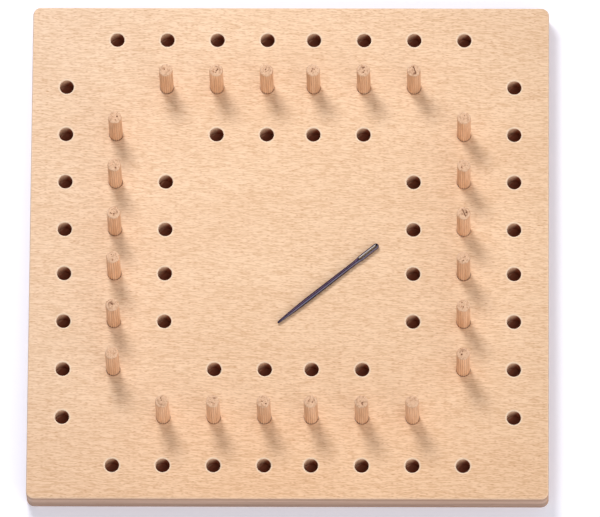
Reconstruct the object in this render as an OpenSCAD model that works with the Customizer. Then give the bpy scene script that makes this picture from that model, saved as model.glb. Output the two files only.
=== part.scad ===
// Square peg loom: a solid beech board with three square rings of blind holes,
// fluted dowel pegs standing in the middle ring, and a blunt weaving needle lying on the board.
// The origin is the centre of the board's underside. X runs along the grain, Y to the back, Z up.

/* [Board] */
// Thickness of the board
board_t = 16; // [15:0.5:30]
// Distance from the outer ring of holes to the board's edge
edge_margin = 20.1; // [14:0.1:40]
// Radius of the board's four upright corners
corner_r = 4.5; // [3:0.5:12]
// Radius of the rounding along the board's top and bottom edges
edge_round = 1; // [0.6:0.1:2.5]

/* [Holes] */
// Distance between neighbouring holes along a side
hole_pitch = 29.1; // [20:0.1:40]
// Distance between the two holes either side of a side's middle
middle_pitch = 27; // [20:0.1:40]
// Depth of each blind hole
hole_depth = 10; // [6:0.5:13]
// Width of the countersink round each hole's mouth
mouth_chamfer = 0.4; // [0.2:0.1:1]

/* [Pegs] */
// Diameter of a peg over its flutes
peg_d = 8; // [6:0.1:12]
// Whole length of a peg
peg_length = 40; // [25:1:80]
// Gap all round between a peg and its hole
peg_clearance = 0.1; // [0.05:0.01:0.2]
// Width of the chamfer at both ends of a peg
peg_chamfer = 0.9; // [0.4:0.1:1.5]
// Number of flutes pressed along a peg
flute_count = 18; // [12:1:24]
// Radius of the round bottom of a flute
flute_r = 0.5; // [0.3:0.05:0.6]
// Depth of a flute
flute_depth = 0.32; // [0.15:0.01:0.5]

/* [Needle] */
// Whole length of the needle
needle_length = 75; // [60:1:120]
// Greatest diameter of the needle's shaft
shaft_d = 2.9; // [2.2:0.1:4]
// Diameter of the shaft where it meets the eye
neck_d = 2.6; // [1.8:0.1:2.8]
// Diameter of the blunt tip
tip_d = 1.3; // [0.8:0.1:1.8]
// Distance from the tip to the thickest part of the shaft
taper_length = 24; // [15:1:30]
// Length of the flat end that holds the eye
eye_end_length = 18; // [14:1:26]
// Greatest width of the flat end
eye_end_w = 3.4; // [3:0.1:5]
// Thickness of the flat end
eye_end_t = 2.4; // [1.2:0.1:2.6]
// Length of the slot of the eye
eye_length = 13.5; // [9:0.5:13.5]
// Width of the slot of the eye
eye_w = 1.3; // [0.8:0.1:1.4]
// Gap between the needle and the board that it lies on
needle_gap = 0.1; // [0.05:0.05:0.3]
// Place of the needle's tip to the right of the board's centre
needle_tip_x = -6.3; // [-40:0.1:40]
// Place of the needle's tip behind the board's centre
needle_tip_y = -44; // [-60:0.1:0]
// Angle of the needle from the grain
needle_angle = 39.6; // [0:0.1:60]

/* [Hidden] */
// Holes on each half of a side, in the inner, the middle and the outer ring
rings = [2, 3, 4];
// The ring whose holes hold the pegs
peg_ring = rings[1];
// Each side of a ring: its name and the turn that brings the back side there
sides = [["back", 0], ["right", -90], ["front", 180], ["left", 90]];
// Every peg: its node's name, its side and its place along that side
pegs = [for (side = sides) for (i = [1:2 * peg_ring]) [str("peg_", side[0], "_", i), side, i]];

hole_d = peg_d + 2 * peg_clearance;
board_side = 2 * (ring_line(rings[2]) + edge_margin);
peg_z = board_t - hole_depth;
needle_z = board_t + needle_gap + max(shaft_d, eye_end_t) / 2;
// Overlap of a cutting tool past the face that it cuts
cut = 1;
// Straight steps in a quarter turn of an eased edge
round_steps = 4;
$fn = 48;

// Distance of the k-th hole from the middle of a side, k counting outwards from 1
function hole_offset(k) = middle_pitch / 2 + (k - 1) * hole_pitch;
// Distance of a ring's sides from the board's centre, for a ring with n holes on each half of a side
function ring_line(n) = hole_offset(n + 1);
// Place along a side of the i-th hole, i counting from 1 at one end, in a ring with n holes on each half
function hole_place(i, n) = i <= n ? -hole_offset(n + 1 - i) : hole_offset(i - n);
// Points of a quarter circle of radius r about (x, y), from angle a
function quarter(x, y, r, a) = [for (s = [0:round_steps])
    let (t = a + 90 * s / round_steps) [x + r * cos(t), y + r * sin(t)]];

// Half of a slab's section from the axis out to a wide face at x = w, with rounded outer edges
module eased_half(w) {
    inner = w - edge_round;
    polygon(concat([[0, 0]], quarter(inner, edge_round, edge_round, -90),
                   quarter(inner, board_t - edge_round, edge_round, 0), [[0, board_t]]));
}

// Slab as wide as the board, that stops short of the rounded corners
module slab() {
    rotate([90, 0, 0]) linear_extrude(board_side - 2 * corner_r, center = true) {
        eased_half(board_side / 2);
        mirror([1, 0]) eased_half(board_side / 2);
    }
}

module blank() {
    corner = board_side / 2 - corner_r;
    slab();
    rotate([0, 0, 90]) slab();
    for (x = [-corner, corner], y = [-corner, corner])
        translate([x, y]) rotate_extrude() eased_half(corner_r);
}

// One blind hole, drilled down from the board's top face
module hole() {
    translate([0, 0, peg_z]) cylinder(d = hole_d, h = hole_depth + cut);
    translate([0, 0, board_t - mouth_chamfer])
        cylinder(d1 = hole_d, d2 = hole_d + 2 * (mouth_chamfer + cut), h = mouth_chamfer + cut);
}

module board() {
    color("burlywood") difference() {
        blank();
        for (n = rings, side = sides, i = [1:2 * n])
            rotate([0, 0, side[1]]) translate([hole_place(i, n), ring_line(n)]) hole();
    }
}

// Outline of a peg: a circle with a ring of shallow round flutes
module fluted_outline() {
    difference() {
        circle(d = peg_d);
        for (i = [1:flute_count]) rotate(i * 360 / flute_count)
            translate([peg_d / 2 + flute_r - flute_depth, 0]) circle(r = flute_r);
    }
}

// Round bar with both ends chamfered, that a peg is cut to
module chamfered_bar() {
    r = peg_d / 2;
    rotate_extrude() polygon([[0, 0], [r - peg_chamfer, 0], [r, peg_chamfer],
        [r, peg_length - peg_chamfer], [r - peg_chamfer, peg_length], [0, peg_length]]);
}

// A peg in its hole. Each peg is turned by its own angle, as loose dowels are
module peg(side, i) {
    rotate([0, 0, side[1]]) translate([hole_place(i, peg_ring), ring_line(peg_ring), peg_z])
        rotate([0, 0, 7 * i * i]) color("tan") intersection() {
            linear_extrude(peg_length) fluted_outline();
            chamfered_bar();
        }
}

// Shaft of the needle along X from its blunt tip, thickest where the taper ends
module shaft() {
    tip_r = tip_d / 2;
    rotate([0, 90, 0]) rotate_extrude() polygon(concat(
        [[0, 0]], [for (s = [1:round_steps]) let (t = 90 * s / round_steps)
                   [tip_r * sin(t), tip_r * (1 - cos(t))]],
        [[shaft_d / 2, taper_length], [neck_d / 2, needle_length - eye_end_length],
         [0, needle_length - eye_end_length]]));
}

// Bar with round ends from x = a to x = b
module rounded_bar(a, b, w) {
    translate([a + w / 2, -w / 2]) square([b - a - w, w]);
    translate([a + w / 2, 0]) circle(d = w);
    translate([b - w / 2, 0]) circle(d = w);
}

// Flat end of the needle, that widens from the neck and holds the eye
module eye_end() {
    start = needle_length - eye_end_length;
    eye_end_wall = (eye_end_w - eye_w) / 2;
    eye_stop = needle_length - eye_end_wall;
    translate([0, 0, -eye_end_t / 2]) linear_extrude(eye_end_t) difference() {
        union() {
            rounded_bar(eye_stop - eye_length, needle_length, eye_end_w);
            polygon([[start - neck_d, -neck_d / 4], [start, -neck_d / 2],
                     [eye_stop - eye_length + eye_end_w / 2, -eye_end_w / 2],
                     [eye_stop - eye_length + eye_end_w / 2, eye_end_w / 2],
                     [start, neck_d / 2], [start - neck_d, neck_d / 4]]);
        }
        rounded_bar(eye_stop - eye_length, eye_stop, eye_w);
    }
}

module needle() {
    translate([needle_tip_x, needle_tip_y, needle_z]) rotate([0, 0, needle_angle])
        color("dimgray") {
            shaft();
            eye_end();
        }
}

board();
for (p = pegs) peg(p[1], p[2]);
needle();
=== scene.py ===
"""Looks of the peg loom: a beech board with rings of blind holes, fluted pegs and a gunmetal needle."""
import math
import random

import bpy
import numpy as np
from mathutils import Matrix, Quaternion, Vector, noise

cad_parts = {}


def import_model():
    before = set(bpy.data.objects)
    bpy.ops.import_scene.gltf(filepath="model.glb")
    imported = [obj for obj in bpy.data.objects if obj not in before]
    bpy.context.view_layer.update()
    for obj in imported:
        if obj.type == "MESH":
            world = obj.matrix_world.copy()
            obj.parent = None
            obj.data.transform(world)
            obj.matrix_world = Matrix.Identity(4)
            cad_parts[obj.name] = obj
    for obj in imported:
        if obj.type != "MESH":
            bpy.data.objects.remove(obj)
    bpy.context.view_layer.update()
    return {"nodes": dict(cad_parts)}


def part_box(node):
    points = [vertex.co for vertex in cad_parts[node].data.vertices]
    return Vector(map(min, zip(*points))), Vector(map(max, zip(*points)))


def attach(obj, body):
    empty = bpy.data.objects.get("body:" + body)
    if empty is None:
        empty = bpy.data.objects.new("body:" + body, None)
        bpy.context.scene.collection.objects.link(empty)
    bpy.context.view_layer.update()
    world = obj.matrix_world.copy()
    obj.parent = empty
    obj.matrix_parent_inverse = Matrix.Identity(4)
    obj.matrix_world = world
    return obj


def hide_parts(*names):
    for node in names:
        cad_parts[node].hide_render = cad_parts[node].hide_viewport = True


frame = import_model()

# Units: lengths below are in millimetres, and this turns them into metres
MM = 0.001

# Pegs: what the frame doesn't say about them. A flute takes its share of the width that it has
FLUTES = 18
FLUTE_DEPTH = 0.32
FLUTE_SHARE = 0.7
PEG_CHAMFER = 1.3
PEG_TWIST = 7
SIDE_TURNS = {"back": 0, "right": -90, "front": 180, "left": 90}
STEPS_PER_FLUTE = 8
LEVELS_UP = 15
CAP_RINGS = 14

# Wear of the pegs: how uneven the side and the upper end are, how far that end slopes, and its pits.
# The spread of the pits and the length of a split are shares of the flat end's radius
SIDE_WOBBLE = 0.05
END_ROUGHNESS = 0.35
END_SLOPES = (0.1, 0.5)
PITS_PER_END = (2, 4)
PIT_HALF_WIDTHS = (0.3, 0.6)
PIT_DEPTHS = (0.4, 0.9)
PIT_SPREAD = 0.75

# Splits in the upper ends of two pegs: the angle, and how far they lie from the middle
SPLITS = {"peg_back_6": (35, 0.6), "peg_right_3": (-40, 0.3)}
SPLIT_SHARE = 0.8

# Needle: its line on the board and its sections, as in the CAD model
NEEDLE_TIP = (-6.3, -44)
NEEDLE_ANGLE = 39.6
NEEDLE_LENGTH = 75
TIP_R = 0.65
SHAFT_R = 1.45
NECK_R = 1.3
TAPER_END = 24
NECK_AT = 57
EYE_HALF_WIDTH = 1.7
EYE_HALF_THICKNESS = 1.2
SLOT_WIDTH = 1.3
SLOT_START = 60.45
SLOT_END = 73.95
NEEDLE_VOXEL = 0.12
NEEDLE_TRIANGLES = 12000

# Camera: the view of the photograph. The angles are in degrees
AIM = (6.3, -4.2, 16)
AZIMUTH = 3.0
ELEVATION = 71
ROLL = -2.72
DISTANCE = 6930
LENS = 720

# Light: each lamp's name, place, width and power. The light from all round is stronger from the front right
LAMPS = [("softbox", (-360, 800, 1280), 560, 13.8), ("front_fill", (700, -850, 850), 900, 2.4)]
AROUND_STRENGTH = 0.51
AROUND_SLANT = 0.46
AROUND_FROM = (0.75, -0.66, 0.0)

# Table: half its width, and how far its top lies below the board
TABLE_HALF_WIDTH = 3000
TABLE_GAP = 0.1


class Paint:
    """A material or world made of nodes. Each call adds a node and returns the socket with its result."""

    def __init__(self, owner, shader="Principled BSDF"):
        self.owner = owner
        self.owner.use_nodes = True
        self.tree = self.owner.node_tree
        self.shader = self.tree.nodes[shader]

    def plug(self, socket, value):
        """Links a socket to another node's result, or sets it to a plain value."""
        if isinstance(value, bpy.types.NodeSocket):
            self.tree.links.new(value, socket)
        else:
            socket.default_value = value

    def finish(self, inputs):
        """Sets or links the shader's inputs and returns the finished material or world."""
        for key, value in inputs.items():
            self.plug(self.shader.inputs[key], value)
        return self.owner

    def add(self, kind, inputs, output=0, **settings):
        """A new node of the kind, with its inputs set or linked. Returns one of its outputs."""
        made = self.tree.nodes.new("ShaderNode" + kind)
        for key, value in settings.items():
            setattr(made, key, value)
        for key, value in inputs.items():
            self.plug(made.inputs[key], value)
        return made.outputs[output]

    def place(self):
        """The point on the piece, in millimetres from the piece's own origin."""
        at = self.add("TexCoord", {}, "Object")
        return self.add("VectorMath", {0: at, 1: (1000, 1000, 1000)}, operation="MULTIPLY")

    def split(self, vector):
        made = self.tree.nodes.new("ShaderNodeSeparateXYZ")
        self.plug(made.inputs[0], vector)
        return made.outputs

    def join(self, x, y, z):
        return self.add("CombineXYZ", {0: x, 1: y, 2: z})

    def math(self, operation, a, b=0.0):
        return self.add("Math", {0: a, 1: b}, operation=operation)

    def ease(self, value, low, high, to_low=0.0, to_high=1.0):
        """Smooth step of the value from to_low, at low, to to_high, at high."""
        ends = {"Value": value, "From Min": low, "From Max": high, "To Min": to_low, "To Max": to_high}
        return self.add("MapRange", ends, interpolation_type="SMOOTHSTEP")

    def scaled(self, at, sizes, shift=(0, 0, 0)):
        """The point measured in steps of the given sizes, so that a pattern stretches to them."""
        return self.add("Mapping", {"Vector": at, "Location": shift, "Scale": [1 / s for s in sizes]})

    def noise(self, at, detail=2.0, roughness=0.5):
        return self.add("TexNoise", {"Vector": at, "Scale": 1.0, "Detail": detail, "Roughness": roughness})

    def cells(self, at, output="Distance"):
        """Distance to the nearest of many scattered points, or that point's own random colour."""
        return self.add("TexVoronoi", {"Vector": at, "Scale": 1.0}, output)

    def mix(self, share, a, b):
        return self.add("Mix", {0: share, 6: a, 7: b}, 2, data_type="RGBA")

    def shade(self, colour, factor):
        """The colour multiplied by a factor."""
        return self.add("VectorMath", {0: colour, "Scale": factor}, operation="SCALE")

    def tint(self, colour, factors):
        """The colour with each of its channels multiplied by a factor of its own."""
        return self.add("VectorMath", {0: colour, 1: factors}, operation="MULTIPLY")

    def length(self, a, b):
        """Distance from the origin of the point (a, b)."""
        return self.math("SQRT", self.math("ADD", self.math("MULTIPLY", a, a), self.math("MULTIPLY", b, b)))

    def seen(self):
        """1 for what the camera sees, straight, mirrored or through glass, and 0 for other light."""
        path = self.tree.nodes.new("ShaderNodeLightPath").outputs
        mirrored = self.math("MAXIMUM", path["Is Glossy Ray"], path["Is Transmission Ray"])
        return self.math("MAXIMUM", path["Is Camera Ray"], mirrored)

    def bump(self, height, depth_mm, strength=1.0):
        return self.add("Bump", {"Height": height, "Distance": depth_mm * MM, "Strength": strength})


def rgb(r, g, b):
    return (r, g, b, 1.0)


def new_paint(name):
    return Paint(bpy.data.materials.new(name))


def board_top():
    """Height of the board's top face above the table, in millimetres."""
    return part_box("board")[1].z / MM


def spindles(p, at, sizes, width, shift):
    """Scattered short dark flecks of the given spacing, each as dark as its own cell says."""
    cell_at = p.scaled(at, sizes, shift)
    spot = p.ease(p.cells(cell_at), width, 0.06)
    own = p.split(p.cells(cell_at, "Color"))[0]
    return p.math("MULTIPLY", spot, own)


def board_wood():
    """Flat-sawn beech, with grain lines on its long sides, end grain at both X ends and drilled holes,
    painted pale round their mouths as highlights, with painted light and shade inside them.
    """
    p = new_paint("beech_board")
    at = p.place()
    x, y, z = p.split(at)
    facing = p.split(p.add("NewGeometry", {}, "Normal"))
    sway = p.noise(p.scaled(at, (75, 26, 40)), 1.0)
    wave = p.noise(p.scaled(at, (11, 4.5, 9), (7, 3, 1)), 1.0)
    sway_width, wave_width = 5.0, 0.55
    bend = p.math("ADD", p.math("MULTIPLY", sway, sway_width), p.math("MULTIPLY", wave, wave_width))

    tone, rough, height = flat_grain(p, at, bend, sway)
    across, up, pitch = hole_offsets(p, x, y)
    # Painted highlight: a pale ring on the top face round each empty hole.
    rim_highlight = hole_rim_highlight(p, x, y, p.length(across, up), pitch)
    tone = p.mix(p.math("MULTIPLY", rim_highlight, 0.4), tone, rgb(1.0, 0.85, 0.68))
    upright = p.ease(p.math("ABSOLUTE", facing[2]), 0.6, 0.2)
    tone = p.mix(upright, tone, side_grain(p, at, bend))
    tone = p.mix(p.ease(p.math("ABSOLUTE", facing[0]), 0.6, 0.9), tone, end_grain(p, at, sway))

    inside, wall = drilled(p, x, y, z)
    # Painted highlight: the sloping faces just below the top, mostly the holes' mouth chamfers, are painted
    # paler than the top.
    top, skin = board_top(), (0.01, 0.07)
    mouth = p.math("MULTIPLY", p.ease(z, top - skin[0], top - skin[1]), p.ease(inside, 0.0, 1.0, 0.3))
    mouth = p.math("MULTIPLY", mouth, p.math("SUBTRACT", 1.0, upright))
    tone = p.mix(mouth, tone, rgb(1.0, 0.80, 0.62))
    # Painted light and shade inside the holes: pale at the back left of each mouth, dark deeper down and at
    # the front right.
    tone = p.mix(wall, tone, hole_wall_painted_light(p, at, across, up))
    return p.finish({"Base Color": tone, "Roughness": rough, "Specular IOR Level": 0.25,
                     "Normal": p.bump(height, 0.04)})


def flat_grain(p, at, bend, sway):
    """Colour, roughness and relief of the wide faces: flecks and ripples near X, faint growth rings, and
    painted light: paler to the left and back, more orange at the front, darker towards the corners.
    """
    x, y, z = p.split(at)
    slant_per_length = 0.045
    slant = p.math("MULTIPLY", x, slant_per_length)
    grain = p.join(x, p.math("ADD", p.math("ADD", y, bend), slant), z)
    flecks = spindles(p, grain, (3.8, 0.8, 9), 0.42, (0, 0, 0))
    small = spindles(p, grain, (2.8, 0.6, 7), 0.42, (11.3, 5.7, 2.1))
    ripple = p.noise(p.scaled(grain, (4.6, 0.45, 10)), 1.0, 0.5)
    streak = p.noise(p.scaled(grain, (60, 1.7, 14), (3, 8, 5)), 3.0, 0.6)
    cloud = p.noise(p.scaled(at, (85, 26, 60), (2, 4, 6)), 2.0, 0.5)
    ring_line = p.math("ADD", p.math("MULTIPLY", y, 0.045), p.math("MULTIPLY", sway, 2.6))
    ring = p.math("ABSOLUTE", p.math("SINE", ring_line))

    pale, deep, fleck_tone = rgb(0.93, 0.668, 0.457), rgb(0.80, 0.524, 0.331), rgb(0.58, 0.30, 0.15)
    tone = p.mix(p.ease(cloud, 0.3, 0.75, 0.33, 0.62), pale, deep)
    tone = p.mix(p.ease(streak, 0.35, 0.8, 0.0, 0.16), tone, deep)
    tone = p.mix(p.ease(ring, 0.12, 0.0, 0.0, 0.2), tone, deep)
    ripple_tint = p.mix(p.ease(ripple, 0.36, 0.6), rgb(0.895, 0.85, 0.79), rgb(1.07, 1.09, 1.12))
    tone = p.tint(tone, ripple_tint)
    # Painted light: paler and cooler towards the left and the back, more orange and darker towards the
    # front.
    edge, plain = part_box("board")[1].x / MM, rgb(1, 1, 1)
    tone = p.tint(tone, p.mix(p.ease(x, -edge, 0), rgb(1.0, 1.02, 1.06), plain))
    tone = p.tint(tone, p.mix(p.ease(y, -edge, -edge / 3), rgb(1.02, 0.97, 0.925), plain))
    tone = p.tint(tone, p.mix(p.ease(y, edge * 0.4, edge), plain, rgb(1.03, 1.04, 1.06)))
    tone = p.mix(p.math("MULTIPLY", flecks, 0.7), tone, fleck_tone)
    tone = p.mix(p.math("MULTIPLY", small, 0.85), tone, fleck_tone)
    # Painted shade: darker further from the middle, towards the corners.
    painted_shade_from, painted_shade_to = 110, 215
    tone = p.shade(tone, p.ease(p.length(x, y), painted_shade_from, painted_shade_to, 1.0, 0.90))

    fibre = p.noise(p.scaled(grain, (9, 0.35, 3)), 3.0, 0.6)
    height = p.math("SUBTRACT", p.math("ADD", ripple, p.math("MULTIPLY", fibre, 0.5)), flecks)
    return tone, p.ease(streak, 0.2, 0.8, 0.5, 0.62), height


def side_grain(p, at, bend):
    """Colour of the long sides: growth lines along X, with painted shade: darker than the top, a dark brown
    band along the top edge, darker towards the underside.
    """
    x, y, z = p.split(at)
    top, mean_bend = board_top(), 2.8
    level = p.math("ADD", z, p.math("MULTIPLY", p.math("SUBTRACT", bend, mean_bend), 0.7))
    lines = p.noise(p.scaled(p.join(x, y, level), (60, 60, 0.9), (0, 0, 3)), 3.0, 0.6)
    flecks = spindles(p, p.join(x, y, level), (4.5, 4.5, 0.7), 0.42, (3.1, 0, 1.7))
    # Painted shade: these tones are darker than the top's, with a dark band along the top edge and a darker
    # lower part towards the underside.
    upper, lower, painted_edge_shade = rgb(0.57, 0.385, 0.29), rgb(0.43, 0.28, 0.21), rgb(0.40, 0.23, 0.15)
    tone = p.mix(p.ease(level, top - 5, top - 12), upper, lower)
    tone = p.mix(p.ease(level, top - 4.2, top - 2.6, 0.0, 0.6), tone, painted_edge_shade)
    tone = p.shade(tone, p.ease(lines, 0.3, 0.7, 0.84, 1.12))
    return p.mix(p.math("MULTIPLY", flecks, 0.5), tone, rgb(0.33, 0.18, 0.11))


def end_grain(p, at, sway):
    """Colour of the two X ends: growth rings as arcs about a pith far below, rays across them, pores."""
    pith_y, pith_z, ring_width = 30.0, -120.0, 3.4
    x, y, z = p.split(at)
    out_y, out_z = p.math("SUBTRACT", y, pith_y), p.math("SUBTRACT", z, pith_z)
    radius = p.math("ADD", p.length(out_y, out_z), p.math("MULTIPLY", sway, 6.0))
    ring = p.math("PINGPONG", radius, ring_width)
    arc = p.math("MULTIPLY", p.math("ARCTAN2", out_y, out_z), -pith_z)
    rays = p.noise(p.scaled(p.join(arc, radius, x), (0.5, 7, 50)), 2.0, 0.5)
    pores = p.ease(p.cells(p.scaled(at, (3, 0.5, 0.5))), 0.35, 0.1)
    tone = p.mix(p.ease(ring, 0.0, ring_width), rgb(0.60, 0.375, 0.24), rgb(0.47, 0.275, 0.165))
    tone = p.shade(tone, p.ease(rays, 0.3, 0.7, 0.88, 1.1))
    return p.mix(p.math("MULTIPLY", pores, 0.45), tone, rgb(0.33, 0.17, 0.09))


def hole_wall_painted_light(p, at, across, up):
    """Colour in the holes: rough wood with painted light and shade, palest at the back left of each mouth,
    with painted shade deeper down and towards the front right.
    """
    top = board_top()
    marks = p.noise(p.scaled(at, (2, 2, 0.35)), 2.0)
    back_left = p.math("MULTIPLY", p.math("SUBTRACT", up, across), math.sqrt(0.5))
    depth = p.math("SUBTRACT", top, p.split(at)[2])
    painted_light = p.math("SUBTRACT", back_left, p.math("MULTIPLY", depth, 0.24))
    dark, middle, pale = rgb(0.25, 0.068, 0.028), rgb(0.40, 0.14, 0.075), rgb(1.0, 0.69, 0.47)
    tone = p.mix(p.ease(painted_light, -2.8, 0.6), dark, middle)
    tone = p.mix(p.ease(painted_light, 0.2, 2.6), tone, pale)
    return p.shade(tone, p.ease(marks, 0.3, 0.7, 0.88, 1.05))


def hole_offsets(p, x, y):
    """Distances to the right of and behind the nearest hole, and the holes' pitch. All are on one grid."""
    low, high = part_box("peg_back_4")
    first = (low.x + high.x) / 2 / MM
    pitch = (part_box("peg_back_5")[0].x - low.x) / MM
    offsets = []
    for value in (x, y):
        out = p.math("SUBTRACT", p.math("ABSOLUTE", value), first - pitch / 2)
        within = p.math("SUBTRACT", p.math("MODULO", out, pitch), pitch / 2)
        offsets.append(p.math("MULTIPLY", within, p.math("SIGN", value)))
    return offsets[0], offsets[1], pitch


def hole_rim_highlight(p, x, y, away, pitch):
    """1 on a narrow ring round each empty hole, where the top is painted paler as a highlight round the
    mouth.

    The holes' grid has none on its diagonals, and the middle ring of holes holds the pegs."""
    low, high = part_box("peg_back_4")
    mouth_past_peg, rise, whole_to, gone_at = 0.5, 0.3, 0.2, 0.8
    peg_line, mouth = (low.y + high.y) / 2 / MM, (high.x - low.x) / 2 / MM + mouth_past_peg
    half = pitch / 2
    inner = p.ease(away, mouth - rise, mouth)
    outer = p.ease(away, mouth + gone_at, mouth + whole_to)
    ring = p.math("MULTIPLY", inner, outer)
    out_x, out_y = p.math("ABSOLUTE", x), p.math("ABSOLUTE", y)
    line = p.math("MAXIMUM", out_x, out_y)
    off_diagonal = p.math("GREATER_THAN", p.math("ABSOLUTE", p.math("SUBTRACT", out_x, out_y)), half)
    off_pegs = p.math("GREATER_THAN", p.math("ABSOLUTE", p.math("SUBTRACT", line, peg_line)), half)
    in_rings = p.math("GREATER_THAN", line, peg_line - pitch - half)
    for mask in (off_diagonal, off_pegs, in_rings):
        ring = p.math("MULTIPLY", ring, mask)
    return ring


def drilled(p, x, y, z):
    """Two masks: 1 away from the board's outer sides, and 1 on the walls and floors of its holes."""
    low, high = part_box("board")
    margin, skin = 2.0, 0.3
    inside = 1.0
    for value, half in ((x, high.x / MM), (y, high.y / MM)):
        within = p.ease(p.math("ABSOLUTE", value), half - margin, half - margin - 0.1)
        inside = p.math("MULTIPLY", inside, within)
    below_top = p.ease(z, high.z / MM - skin, high.z / MM - 2 * skin)
    above_base = p.ease(z, low.z / MM + margin, low.z / MM + margin + 0.1)
    return inside, p.math("MULTIPLY", inside, p.math("MULTIPLY", below_top, above_base))


def peg_wood(height, radius):
    """Beech dowel with its fibres along Z, with painted shade in the flutes and in the pits of its upper
    end, a painted highlight in patches round its ends, paler and pitted on its sawn ends.
    """
    p = new_paint("beech_dowel")
    at = p.place()
    x, y, z = p.split(at)
    own = p.add("ObjectInfo", {}, "Random")
    shifted = p.add("VectorMath", {0: at, 1: p.join(0.0, 0.0, p.math("MULTIPLY", own, 900))})
    fibre = p.noise(p.scaled(shifted, (0.45, 0.45, 9)), 3.0, 0.6)
    streak = p.noise(p.scaled(shifted, (2.2, 2.2, 28)), 2.0, 0.5)
    flecks = spindles(p, shifted, (0.9, 0.9, 3.2), 0.42, (0, 0, 0))
    from_axis = p.length(x, y)

    pale, deep = rgb(0.95, 0.635, 0.42), rgb(0.80, 0.49, 0.295)
    tone = p.mix(p.ease(streak, 0.3, 0.7), pale, deep)
    tone = p.shade(tone, p.ease(own, 0.0, 1.0, 0.94, 1.05))
    tone = p.shade(tone, p.ease(fibre, 0.25, 0.75, 0.88, 1.08))
    tone = p.mix(p.math("MULTIPLY", flecks, 0.3), tone, rgb(0.40, 0.19, 0.09))
    # Painted shade in the flutes.
    flute_shade = p.ease(from_axis, radius - 0.1, radius - FLUTE_DEPTH, 0.0, 0.34)
    tone = p.mix(flute_shade, tone, rgb(0.46, 0.23, 0.13))

    facing_up = p.split(p.add("NewGeometry", {}, "True Normal"))[2]
    end = p.ease(p.math("ABSOLUTE", facing_up), 0.78, 0.97)
    grain = p.noise(p.scaled(shifted, (0.5, 0.5, 4)), 3.0, 0.6)
    patch = p.noise(p.scaled(shifted, (1.5, 1.5, 1.5), (5, 1, 8)), 2.0, 0.6)
    end_tone = p.mix(p.ease(grain, 0.3, 0.7), rgb(0.86, 0.575, 0.385), rgb(0.68, 0.41, 0.26))
    end_tone = p.mix(p.ease(patch, 0.48, 0.64, 0.0, 0.6), end_tone, rgb(0.46, 0.25, 0.15))
    # Painted highlight: a paler lip in patches on the rounded edges round both ends.
    worn = p.ease(p.math("ABSOLUTE", facing_up), 0.25, 0.6)
    lip_highlight = p.math("MULTIPLY", worn, p.ease(patch, 0.62, 0.45))
    tone = p.mix(p.math("MULTIPLY", lip_highlight, 0.7), tone, rgb(0.92, 0.66, 0.48))
    tone = p.mix(end, tone, end_tone)
    # Painted shade on the upper end where it lies 0.5 to 3 mm below the top: in its pits and splits, and on
    # the low side of a steeply sloped end.
    depth = p.math("SUBTRACT", height, z)
    inner = p.ease(from_axis, radius - PEG_CHAMFER, radius - PEG_CHAMFER - 0.3)
    pit_shade = p.math("MULTIPLY", p.ease(depth, 0.5, 0.85), p.ease(depth, 3.0, 2.0))
    tone = p.mix(p.math("MULTIPLY", inner, pit_shade), tone, rgb(0.38, 0.20, 0.12))

    height_map = p.math("SUBTRACT", fibre, flecks)
    return p.finish({"Base Color": tone, "Roughness": 0.6, "Specular IOR Level": 0.2,
                     "Normal": p.bump(height_map, 0.08, 0.8)})


def gunmetal():
    """Dark polished steel with fine draw lines along X, painted paler on its near side and near-black on
    its far side, with a painted highlight and painted shade in the eye.
    """
    p = new_paint("gunmetal")
    at = p.place()
    x, y, z = p.split(at)
    lines = p.noise(p.scaled(at, (14, 0.12, 0.12)), 3.0, 0.6)
    tint = p.noise(p.scaled(at, (9, 2, 2), (4, 1, 2)), 2.0)
    # Painted light and shade: paler on the needle's near side, near-black on its far side.
    near = p.mix(p.ease(tint, 0.3, 0.7), rgb(0.15, 0.12, 0.17), rgb(0.13, 0.125, 0.19))
    dark = rgb(0.024, 0.014, 0.026)
    tone = p.mix(p.ease(y, -0.8, -0.1), near, dark)
    # Painted shade: a near-black strip along the near flank, from the tip to the neck.
    edge = p.math("MULTIPLY", p.ease(y, -0.95, -1.2), p.ease(x, NECK_AT + 2, NECK_AT - 2))
    tone = p.mix(edge, tone, dark)
    tone = p.shade(tone, p.ease(lines, 0.3, 0.7, 0.6, 1.2))

    # Painted light in the eye: a pale highlight on the upper half of the far wall, and painted near-black
    # shade on the rest of the far wall and on the near side, with little metal and more roughness there.
    slot_side = SLOT_WIDTH / 2
    along = p.math("MULTIPLY", p.ease(x, SLOT_START, SLOT_START + 1), p.ease(x, SLOT_END, SLOT_END - 1))
    wall = p.math("MULTIPLY", along, stripe(p, y, slot_side - 0.25, slot_side + 0.28))
    wall_highlight = p.math("MULTIPLY", wall, p.ease(z, -0.3, 0.0))
    slot_shade = p.math("MULTIPLY", along, stripe(p, y, -slot_side - 0.35, -slot_side + 0.3))
    plain = p.math("MAXIMUM", wall, slot_shade)
    tone = p.mix(plain, tone, rgb(0.012, 0.008, 0.012))
    tone = p.mix(wall_highlight, tone, rgb(0.99, 0.93, 0.89))
    polish = p.ease(lines, 0.3, 0.7, 0.22, 0.34)
    return p.finish({"Base Color": tone, "Metallic": p.ease(plain, 0.0, 1.0, 1.0, 0.1),
                     "Roughness": p.ease(plain, 0.0, 1.0, polish, 0.6),
                     "Normal": p.bump(lines, 0.01, 0.5)})


def stripe(p, value, low, high):
    """1 where the value lies between the two limits, with soft edges."""
    soft = 0.1
    return p.math("MULTIPLY", p.ease(value, low, low + soft), p.ease(value, high, high - soft))


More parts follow.
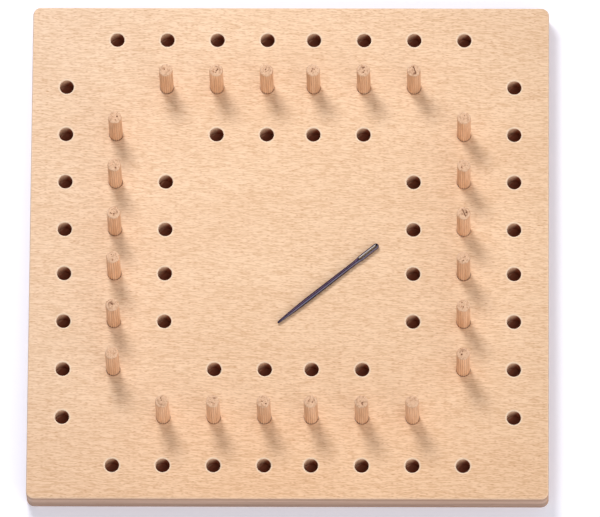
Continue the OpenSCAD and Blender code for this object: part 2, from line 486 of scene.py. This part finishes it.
def floor_finish():
    """Near-white table, seen a little lighter than lit, so that it is white beyond the shadows.

    The added glow is painted light: it grows with the distance from the middle and past the board's left
    side, where it paints out the board's shade."""
    p = new_paint("pale_table")
    at = p.place()
    x, y, z = p.split(at)
    away = p.length(x, y)
    speck = p.noise(p.scaled(at, (1.5, 1.5, 1.5)), 2.0)
    tone = p.mix(p.ease(speck, 0.3, 0.7), rgb(0.90, 0.90, 0.96), rgb(0.93, 0.93, 0.99))
    # Painted light: the camera's glow grows away from the board and past its left side, where it hides the
    # board's shade.
    near, far, left = (170, 300), (400, 1500), (-146, -158)
    painted_lift = p.math("ADD", p.ease(away, *near, 0.15, 0.22), p.ease(away, *far, 0.0, 0.5))
    painted_lift = p.math("ADD", painted_lift, p.ease(x, *left, 0.0, 0.09))
    glow = p.math("MULTIPLY", p.seen(), painted_lift)
    return p.finish({"Base Color": tone, "Roughness": 0.9, "Specular IOR Level": 0.0,
                     "Emission Color": rgb(0.85, 0.95, 1.3), "Emission Strength": glow})


def new_object(name, vertices, faces, material, smooth_below=50):
    """A mesh object from points in millimetres, smooth but for edges sharper than the angle."""
    mesh = bpy.data.meshes.new(name)
    mesh.from_pydata([tuple(v) for v in np.asarray(vertices) * MM], [], faces)
    mesh.validate()
    mesh.shade_smooth()
    mesh.set_sharp_from_angle(angle=math.radians(smooth_below))
    mesh.materials.append(material)
    made = bpy.data.objects.new(name, mesh)
    bpy.context.scene.collection.objects.link(made)
    return made


def closed_tube(rings, around):
    """Faces of a closed tube: quads between successive rings of points and a cap on both ends."""
    faces = []
    for ring in range(rings - 1):
        low = ring * around
        for a in range(around):
            b = (a + 1) % around
            faces.append((low + a, low + b, low + around + b, low + around + a))
    last = (rings - 1) * around
    return faces + [tuple(reversed(range(around))), tuple(range(last, last + around))]


def flute_depth(angle):
    """How deep the flutes cut at an angle from the middle of one of them."""
    pitch = 2 * math.pi / FLUTES
    from_middle = abs((angle + pitch / 2) % pitch - pitch / 2) / (pitch / 2)
    return FLUTE_DEPTH * max(0.0, 1 - (from_middle / FLUTE_SHARE) ** 2)


def end_marks(rng, radius, split):
    """Pits and splits in a sawn end, as (x, y, direction x, y, half length, half width, depth)."""
    marks = []
    for _ in range(rng.randint(*PITS_PER_END)):
        r, a = radius * PIT_SPREAD * math.sqrt(rng.random()), rng.uniform(0, 2 * math.pi)
        half_width, depth = rng.uniform(*PIT_HALF_WIDTHS), rng.uniform(*PIT_DEPTHS)
        marks.append((r * math.cos(a), r * math.sin(a), 1, 0, 0, half_width, depth))
    if split:
        angle, offset = split
        a = math.radians(angle)
        marks.append((-offset * math.sin(a), offset * math.cos(a), math.cos(a), math.sin(a),
                      radius * SPLIT_SHARE, PIT_HALF_WIDTHS[0], PIT_DEPTHS[1]))
    return marks


def mark_depth(x, y, marks):
    """Depth of the end's marks at a point of it."""
    deepest = 0.0
    for mx, my, dx, dy, half_length, half_width, depth in marks:
        along = (x - mx) * dx + (y - my) * dy
        across = (y - my) * dx - (x - mx) * dy
        past = max(0.0, abs(along) - half_length)
        away = math.hypot(past, across) / half_width
        deepest = max(deepest, depth * max(0.0, 1 - away * away))
    return deepest


def peg_points(radius, height, seed, split):
    """Rings of points from the middle of the lower end, up the fluted side, to that of the upper end.

    Each peg's seed gives it its own pits, slope and unevenness."""
    rng = random.Random(seed)
    around = FLUTES * STEPS_PER_FLUTE
    c = PEG_CHAMFER
    flat = radius - c
    worn = [(0.0, 0.0), (0.3, 0.08), (0.6, 0.27), (0.85, 0.58), (0.97, 0.85), (1.0, 1.1)]
    side = [(flat + c * across, c * down) for across, down in worn]
    levels = np.linspace(c, height - c, LEVELS_UP)[1:-1]
    side += [(radius, float(level)) for level in levels]
    side += [(r, height - z) for r, z in reversed(side[:len(worn)])]
    inner = [flat * k / CAP_RINGS for k in range(1, CAP_RINGS)]
    rings = [(r, 0.0, "low") for r in inner] + [(r, z, "side") for r, z in side]
    rings += [(r, height, "high") for r in reversed(inner)]
    marks = {"low": end_marks(rng, flat, None), "high": end_marks(rng, flat, split)}
    towards = rng.uniform(0, 2 * math.pi)
    slope, slope_x, slope_y = rng.uniform(*END_SLOPES), math.cos(towards), math.sin(towards)
    wobbles_around, wobble_height, fibre_width = 3, 12, 1.3
    points = []
    for r, z, part in rings:
        for step in range(around):
            angle = 2 * math.pi * step / around
            wobble_at = (wobbles_around * math.cos(angle), wobbles_around * math.sin(angle),
                         z / wobble_height + 10 * seed)
            wobble = noise.noise(Vector(wobble_at))
            at_r, at_z = r, z
            if part == "side":
                at_r = min(r, radius - flute_depth(angle)) + SIDE_WOBBLE * (wobble - 1)
            x, y = at_r * math.cos(angle), at_r * math.sin(angle)
            if part == "low":
                at_z = z + mark_depth(x, y, marks[part])
            if part == "high":
                rough = max(0.0, noise.noise(Vector((x / fibre_width, y / fibre_width, 20 * seed))))
                at_z = z - mark_depth(x, y, marks[part]) - END_ROUGHNESS * rough
            if z > height / 2 and (part == "high" or r < radius):
                at_z -= slope * (1 + (x * slope_x + y * slope_y) / radius)
            points.append((x, y, at_z))
    return points, len(rings), around


def dowel(node, material, split):
    """A fluted dowel in place of a CAD peg."""
    low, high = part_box(node)
    side, number = node.split("_")[1:]
    radius, height = (high.x - low.x) / 2 / MM, (high.z - low.z) / MM
    seed = 1 + 6 * list(SIDE_TURNS).index(side) + int(number)
    points, rings, around = peg_points(radius, height, seed, split)
    made = new_object("dowel_" + side + "_" + number, points, closed_tube(rings, around), material)
    turn = math.radians(SIDE_TURNS[side] + PEG_TWIST * int(number) ** 2)
    made.matrix_world = (Matrix.Translation(((low.x + high.x) / 2, (low.y + high.y) / 2, low.z))
                         @ Matrix.Rotation(turn, 4, "Z"))
    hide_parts(node)
    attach(made, node)
    return made


def needle_section(x):
    """Half width and half thickness of the needle at a distance from its tip."""
    if x < TAPER_END:
        r = TIP_R + (SHAFT_R - TIP_R) * math.sin(math.pi / 2 * x / TAPER_END)
        if x < TIP_R:
            r *= math.sqrt(max(0.0, 1 - (1 - x / TIP_R) ** 2))
        return r, r
    t = min(1.0, (x - TAPER_END) / (NECK_AT - TAPER_END))
    r = SHAFT_R + (NECK_R - SHAFT_R) * t
    if x <= NECK_AT:
        return r, r
    swell = min(1.0, (x - NECK_AT) / (SLOT_START + 2 * SLOT_WIDTH - NECK_AT))
    swell = swell * swell * (3 - 2 * swell)
    wide = NECK_R + (EYE_HALF_WIDTH - NECK_R) * swell
    thick = NECK_R + (EYE_HALF_THICKNESS - NECK_R) * swell
    from_end = NEEDLE_LENGTH - x
    if from_end < EYE_HALF_WIDTH:
        roundness = math.sqrt(max(0.0, 1 - (1 - from_end / EYE_HALF_WIDTH) ** 2))
        return wide * roundness, thick * (0.35 + 0.65 * roundness) * min(1.0, 2 * roundness)
    return wide, thick


def boxy(value, squareness):
    """A cosine or sine pushed towards 1, that turns a round section into one with flatter sides."""
    return math.copysign(abs(value) ** (1 - squareness), value)


def needle_blank(material):
    """The needle without its slot, as rings of points along X, that turn from round to flat-sided."""
    around, step_along = 48, 0.5
    near_tip, near_end = (0.02, 0.1, 0.25, 0.45), (1.7, 1.4, 1.1, 0.8, 0.55, 0.35, 0.18, 0.06)
    stations = list(near_tip) + list(np.arange(TIP_R, NEEDLE_LENGTH - EYE_HALF_WIDTH, step_along))
    stations += [NEEDLE_LENGTH - d for d in near_end]
    points = []
    for x in stations:
        wide, thick = needle_section(x)
        square = 0.45 * min(1.0, max(0.0, (x - NECK_AT) / (SLOT_START - NECK_AT)))
        for step in range(around):
            a = 2 * math.pi * step / around
            points.append((x, wide * boxy(math.cos(a), square), thick * boxy(math.sin(a), square)))
    return new_object("weaving_needle", points, closed_tube(len(stations), around), material)


def slot_cutter(material):
    """A bar with round ends and flared mouths, that cuts the eye."""
    half, steps = SLOT_WIDTH / 2, 12
    outline = []
    for centre, start in ((SLOT_END - half, -90), (SLOT_START + half, 90)):
        for k in range(steps + 1):
            a = math.radians(start + 180 * k / steps)
            outline.append((centre, math.cos(a), math.sin(a)))
    heights, widening = (0.1, 0.5, 1.2, 2.2), (-0.2, -0.1, 0.2, 0.9)
    upper = [(z, half + wider) for z, wider in zip(heights, widening)]
    levels = [(-z, r) for z, r in reversed(upper)] + upper
    points = [(c + r * dx, r * dy, z) for z, r in levels for c, dx, dy in outline]
    return new_object("slot_cutter", points, closed_tube(len(levels), len(outline)), material)


def applied(made):
    """Replaces an object's mesh by what its modifiers make of it."""
    graph = bpy.context.evaluated_depsgraph_get()
    mesh = bpy.data.meshes.new_from_object(made.evaluated_get(graph))
    made.modifiers.clear()
    made.data = mesh


def needle(material):
    """The needle: a lofted shaft and flat end with its eye cut out, all edges softened."""
    made, cutter = needle_blank(material), slot_cutter(material)
    cut = made.modifiers.new("eye", "BOOLEAN")
    cut.operation, cut.object, cut.solver = "DIFFERENCE", cutter, "EXACT"
    remesh = made.modifiers.new("even", "REMESH")
    remesh.mode, remesh.voxel_size, remesh.use_smooth_shade = "VOXEL", NEEDLE_VOXEL * MM, True
    soften = made.modifiers.new("soften", "SMOOTH")
    soften.factor, soften.iterations = 0.5, 4
    applied(made)
    thin = made.modifiers.new("thin", "DECIMATE")
    thin.ratio = NEEDLE_TRIANGLES / max(1, 2 * len(made.data.polygons))
    applied(made)
    made.data.shade_smooth()
    bpy.data.objects.remove(cutter)
    low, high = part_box("needle")
    tip = Vector((NEEDLE_TIP[0] * MM, NEEDLE_TIP[1] * MM, (low.z + high.z) / 2))
    made.matrix_world = Matrix.Translation(tip) @ Matrix.Rotation(math.radians(NEEDLE_ANGLE), 4, "Z")
    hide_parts("needle")
    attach(made, "needle")
    return made


def camera():
    """A far camera that looks at the aim from the photograph's direction."""
    a, e = math.radians(AZIMUTH), math.radians(ELEVATION)
    back = Vector((math.sin(a) * math.cos(e), -math.cos(a) * math.cos(e), math.sin(e)))
    data = bpy.data.cameras.new("camera")
    data.sensor_width, data.lens = 36, LENS
    data.clip_start, data.clip_end = 0.1, 20
    made = bpy.data.objects.new("camera", data)
    bpy.context.scene.collection.objects.link(made)
    made.rotation_mode = "QUATERNION"
    made.location = Vector(AIM) * MM + back * DISTANCE * MM
    made.rotation_quaternion = (-back).to_track_quat("-Z", "Y") @ Quaternion((0, 0, 1), math.radians(ROLL))
    bpy.context.scene.camera = made


def lamp(name, place, size, watts):
    """A round soft lamp that faces the middle of the board."""
    data = bpy.data.lights.new(name, "AREA")
    data.shape, data.size, data.energy = "DISK", size * MM, watts
    made = bpy.data.objects.new(name, data)
    bpy.context.scene.collection.objects.link(made)
    made.location = Vector(place) * MM
    made.rotation_mode = "QUATERNION"
    made.rotation_quaternion = (-made.location).to_track_quat("-Z", "Y")


def world():
    """Slightly warm light from all round, stronger from one side, which the camera sees as plain white."""
    p = Paint(bpy.data.worlds.new("studio"), "Background")
    direction = p.add("TexCoord", {}, "Generated")
    facing = p.add("VectorMath", {0: direction, 1: AROUND_FROM}, "Value", operation="DOT_PRODUCT")
    slanted = p.add("MapRange", {"Value": facing, "From Min": -1.0,
                                 "To Min": AROUND_STRENGTH - AROUND_SLANT,
                                 "To Max": AROUND_STRENGTH + AROUND_SLANT})
    seen = p.seen()
    colour = p.mix(seen, rgb(1.0, 0.965, 0.93), rgb(1, 1, 1))
    strength = p.add("Mix", {0: seen, 2: slanted, 3: 1.0})
    bpy.context.scene.world = p.finish({"Color": colour, "Strength": strength})


def floor():
    """A wide table top, just below the board."""
    half = TABLE_HALF_WIDTH
    corners = [(-half, -half, 0), (half, -half, 0), (half, half, 0), (-half, half, 0)]
    made = new_object("table", corners, [(0, 1, 2, 3)], floor_finish())
    made.location.z = -TABLE_GAP * MM


def dress(node, material):
    """Gives a CAD node a finished material in place of its plain one."""
    data = frame["nodes"][node].data
    for index in range(len(data.materials)):
        data.materials[index] = material


bpy.context.scene.view_settings.view_transform = "Standard"
camera()
for lamp_settings in LAMPS:
    lamp(*lamp_settings)
world()
floor()
dress("board", board_wood())
peg_nodes = sorted(n for n in frame["nodes"] if n.startswith("peg_"))
peg_low, peg_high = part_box(peg_nodes[0])
dowel_finish = peg_wood((peg_high.z - peg_low.z) / MM, (peg_high.x - peg_low.x) / 2 / MM)
for peg_node in peg_nodes:
    dowel(peg_node, dowel_finish, SPLITS.get(peg_node))
needle(gunmetal())
